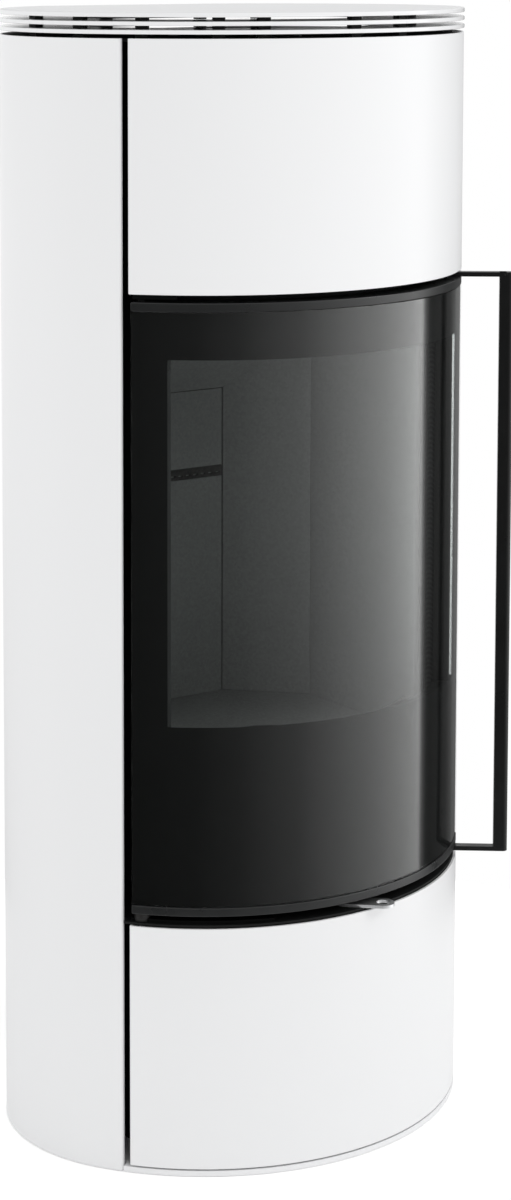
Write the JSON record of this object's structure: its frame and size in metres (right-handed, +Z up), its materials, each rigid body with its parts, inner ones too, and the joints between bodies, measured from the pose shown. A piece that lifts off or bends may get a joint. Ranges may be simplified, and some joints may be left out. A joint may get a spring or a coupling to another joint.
{
  "type": "wood stove",
  "caption": "Tall oval wood stove in white sheet steel with a curved dark glass door, side bar handle, air lever and storage compartment.",
  "frame": {"origin": "on the floor, under the middle of the oval base", "axes": "+Z up, the door faces -Y, +X to the right seen from the front, where the handle is"},
  "size_m": [0.5012, 0.4345, 1.1325],
  "materials": {
    "white_enamel": "smooth semi-gloss white lacquer on sheet steel",
    "black_steel": "matt heat-resistant black paint",
    "rim_grey": "satin anthracite paint",
    "handle_black": "satin black paint",
    "cast_iron": "raw black cast iron",
    "bright_steel": "bright turned or brushed steel",
    "fire_brick": "matt grey vermiculite board",
    "rope_seal": "braided glass-fibre rope",
    "door_glass": "clear ceramic glass with a black printed border",
    "bushing": "dark bronze bush"
  },
  "bodies": {
    "stove_body": {"base_plate": "white_enamel", "leveling_screw_1": "bright_steel", "leveling_screw_2": "bright_steel", "leveling_screw_3": "bright_steel", "leveling_screw_4": "bright_steel", "side_panel_right": "white_enamel", "side_panel_left": "white_enamel", "back_panel": "black_steel", "upper_front_panel": "white_enamel", "panel_bracket_right": "black_steel", "panel_bracket_left": "black_steel", "storage_box": "black_steel", "storage_hinge_pin_bottom": "bright_steel", "storage_hinge_pin_top": "bright_steel", "push_latch_body": "black_steel", "middle_plate": "black_steel", "air_inlet_duct": "black_steel", "air_box": "black_steel", "firebox_casing": "black_steel", "casing_bottom": "black_steel", "front_frame": "black_steel", "flue_collar": "cast_iron", "side_lining_right": "fire_brick", "corner_lining_right": "fire_brick", "back_lining": "fire_brick", "corner_lining_left": "fire_brick", "side_lining_left": "fire_brick", "floor_lining": "fire_brick", "grate": "cast_iron", "log_retainer": "cast_iron", "lower_baffle": "fire_brick", "upper_baffle": "fire_brick", "secondary_air_bar": "cast_iron", "hinge_plate_bottom": "black_steel", "hinge_bushing": "bushing", "hinge_bracket_top": "black_steel", "catch_bracket": "black_steel", "top_frame": "black_steel", "vent_ring_lower": "white_enamel", "vent_ring_upper": "white_enamel", "top_plate": "white_enamel"},
    "glass_door": {"door_glass": "door_glass", "door_rim_bottom": "rim_grey", "door_rim_top": "rim_grey", "door_frame": "black_steel", "glass_strip_right": "bright_steel", "glass_strip_left": "bright_steel", "door_gasket": "rope_seal", "hinge_pin_bottom": "black_steel", "hinge_pin_top": "black_steel", "door_strike": "bright_steel", "door_handle": "handle_black"},
    "storage_door": {"storage_door_panel": "white_enamel", "storage_door_liner": "black_steel"},
    "air_control": {"air_lever": "bright_steel", "air_valve_disc": "cast_iron", "air_valve_shaft": "bright_steel"},
    "ash_drawer": {"ash_pan": "black_steel"},
    "latch_plunger": {"push_latch_plunger": "bright_steel"},
    "roller": {"catch_roller": "bright_steel"}
  },
  "joints": [
    {"name": "glass_door_hinge", "type": "hinge", "parent": "stove_body", "child": "glass_door", "pos_m": [-0.18841, -0.11411, 0.56], "axis": [0, 0, -1], "range_deg": [0, 100]},
    {"name": "storage_door_hinge", "type": "hinge", "parent": "stove_body", "child": "storage_door", "pos_m": [-0.18841, -0.11411, 0.128], "axis": [0, 0, -1], "range_deg": [0, 100]},
    {"name": "air_lever_pivot", "type": "hinge", "parent": "stove_body", "child": "air_control", "pos_m": [0, -0.07, 0.26], "axis": [0, 0, -1], "range_deg": [0, 30]},
    {"name": "ash_pan_slide", "type": "slide", "parent": "stove_body", "child": "ash_drawer", "axis": [0, -1, 0], "range_m": [0, 0.14]},
    {"name": "push_latch_travel", "type": "slide", "parent": "stove_body", "child": "latch_plunger", "axis": [-0.6157, 0.788, 0], "range_m": [0, 0.003], "stiffness_N_per_m": 400},
    {"name": "catch_roller_spin", "type": "hinge", "parent": "stove_body", "child": "roller", "pos_m": [0.17258, -0.09206, 0.56], "axis": [0, 0, 1], "continuous": true}
  ],
  "couplings": [
    {"joint": "ash_pan_slide", "follows": "glass_door_hinge", "m_per_rad": 0.08}
  ]
}
